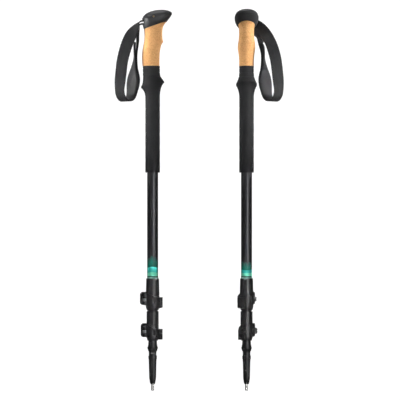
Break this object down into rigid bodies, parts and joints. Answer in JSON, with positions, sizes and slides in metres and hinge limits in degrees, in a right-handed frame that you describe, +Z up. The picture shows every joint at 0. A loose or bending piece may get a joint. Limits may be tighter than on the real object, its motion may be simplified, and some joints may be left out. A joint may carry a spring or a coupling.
{
  "type": "trekking poles",
  "caption": "Pair of telescoping trekking poles, collapsed, with cork and foam grips, wrist straps, lever locks and metal tips.",
  "frame": {"origin": "centre of the footprint of the pair, at the height of the metal tips", "axes": "+Z up along both poles; the poles stand side by side along X; the left pole nose points to +X"},
  "size_m": [0.2774, 0.069, 0.6242],
  "materials": {
    "head": "moulded soft-touch plastic",
    "brass": "polished pin",
    "inner_plastic": "moulded",
    "webbing": "woven nylon webbing",
    "pad": "brushed lining",
    "cork": "sanded agglomerated cork",
    "foam": "closed-cell EVA foam, moulded pattern",
    "tube": "dark anodised satin",
    "nylon": "plain nylon",
    "ferrule": "moulded",
    "tip_metal": "bright ground carbide",
    "clamp": "glass-filled nylon",
    "steel": "zinc plated",
    "lever": "glass-filled nylon"
  },
  "bodies": {
    "left_upper": {"left_grip_head": "head", "left_strap_pin": "brass", "left_strap_wedge": "inner_plastic", "left_strap_tail": "webbing", "left_grip_core": "inner_plastic", "left_cork_grip": "cork", "left_foam_grip": "foam", "left_upper_tube": "tube", "left_upper_clamp": "clamp", "left_upper_cam_washer": "steel", "left_upper_barrel_nut": "steel"},
    "left_middle": {"left_middle_tube": "tube", "left_middle_bushing": "nylon", "left_lower_clamp": "clamp", "left_lower_cam_washer": "steel", "left_lower_barrel_nut": "steel"},
    "left_lower": {"left_lower_tube": "tube", "left_lower_bushing": "nylon", "left_tip_collar": "ferrule", "left_ferrule": "ferrule", "left_carbide_tip": "tip_metal"},
    "left_upper_lever_body": {"left_upper_lever": "lever"},
    "left_lower_lever_body": {"left_lower_lever": "lever"},
    "left_upper_screw_body": {"left_upper_tension_screw": "steel"},
    "left_lower_screw_body": {"left_lower_tension_screw": "steel"},
    "left_strap": {"left_strap_webbing": "webbing", "left_strap_pad": "pad"},
    "right_upper": {"right_grip_head": "head", "right_strap_pin": "brass", "right_strap_wedge": "inner_plastic", "right_strap_tail": "webbing", "right_grip_core": "inner_plastic", "right_cork_grip": "cork", "right_foam_grip": "foam", "right_upper_tube": "tube", "right_upper_clamp": "clamp", "right_upper_cam_washer": "steel", "right_upper_barrel_nut": "steel"},
    "right_middle": {"right_middle_tube": "tube", "right_middle_bushing": "nylon", "right_lower_clamp": "clamp", "right_lower_cam_washer": "steel", "right_lower_barrel_nut": "steel"},
    "right_lower": {"right_lower_tube": "tube", "right_lower_bushing": "nylon", "right_tip_collar": "ferrule", "right_ferrule": "ferrule", "right_carbide_tip": "tip_metal"},
    "right_upper_lever_body": {"right_upper_lever": "lever"},
    "right_lower_lever_body": {"right_lower_lever": "lever"},
    "right_upper_screw_body": {"right_upper_tension_screw": "steel"},
    "right_lower_screw_body": {"right_lower_tension_screw": "steel"},
    "right_strap": {"right_strap_webbing": "webbing", "right_strap_pad": "pad"}
  },
  "joints": [
    {"name": "left_middle_slide", "type": "slide", "parent": "left_upper", "child": "left_middle", "axis": [0, 0, -1], "range_m": [0, 0.355]},
    {"name": "left_lower_slide", "type": "slide", "parent": "left_middle", "child": "left_lower", "axis": [0, 0, -1], "range_m": [0, 0.355]},
    {"name": "left_upper_lever_hinge", "type": "hinge", "parent": "left_upper", "child": "left_upper_lever_body", "pos_m": [-0.0889, -0.01168, 0.1495], "axis": [0, 0, -1], "range_deg": [0, 150]},
    {"name": "left_upper_screw_turn", "type": "hinge", "parent": "left_upper", "child": "left_upper_screw_body", "pos_m": [-0.0889, -0.01168, 0.1495], "axis": [0, 1, 0], "continuous": true},
    {"name": "left_lower_lever_hinge", "type": "hinge", "parent": "left_middle", "child": "left_lower_lever_body", "pos_m": [-0.0889, -0.01018, 0.0975], "axis": [0, 0, -1], "range_deg": [0, 150]},
    {"name": "left_lower_screw_turn", "type": "hinge", "parent": "left_middle", "child": "left_lower_screw_body", "pos_m": [-0.0889, -0.01018, 0.0975], "axis": [0, 1, 0], "continuous": true},
    {"name": "left_strap_swing", "type": "hinge", "parent": "left_upper", "child": "left_strap", "pos_m": [-0.0949, -0.00228, 0.603], "axis": [0, 1, 0], "range_deg": [0, 75]},
    {"name": "right_pole_lift", "type": "slide", "parent": "left_upper", "child": "right_upper", "axis": [0, 0, 1], "range_m": [0, 0.3]},
    {"name": "right_middle_slide", "type": "slide", "parent": "right_upper", "child": "right_middle", "axis": [0, 0, -1], "range_m": [0, 0.355]},
    {"name": "right_lower_slide", "type": "slide", "parent": "right_middle", "child": "right_lower", "axis": [0, 0, -1], "range_m": [0, 0.355]},
    {"name": "right_upper_lever_hinge", "type": "hinge", "parent": "right_upper", "child": "right_upper_lever_body", "pos_m": [0.07357, 0.01283, 0.1495], "axis": [0, 0, -1], "range_deg": [0, 150]},
    {"name": "right_upper_screw_turn", "type": "hinge", "parent": "right_upper", "child": "right_upper_screw_body", "pos_m": [0.07357, 0.01283, 0.1495], "axis": [0.9272, -0.3746, 0], "continuous": true},
    {"name": "right_lower_lever_hinge", "type": "hinge", "parent": "right_middle", "child": "right_lower_lever_body", "pos_m": [0.07496, 0.01227, 0.0975], "axis": [0, 0, -1], "range_deg": [0, 150]},
    {"name": "right_lower_screw_turn", "type": "hinge", "parent": "right_middle", "child": "right_lower_screw_body", "pos_m": [0.07496, 0.01227, 0.0975], "axis": [0.9272, -0.3746, 0], "continuous": true},
    {"name": "right_strap_swing", "type": "hinge", "parent": "right_upper", "child": "right_strap", "pos_m": [0.0776, 0.01622, 0.603], "axis": [0, -1, 0], "range_deg": [0, 75]}
  ]
}
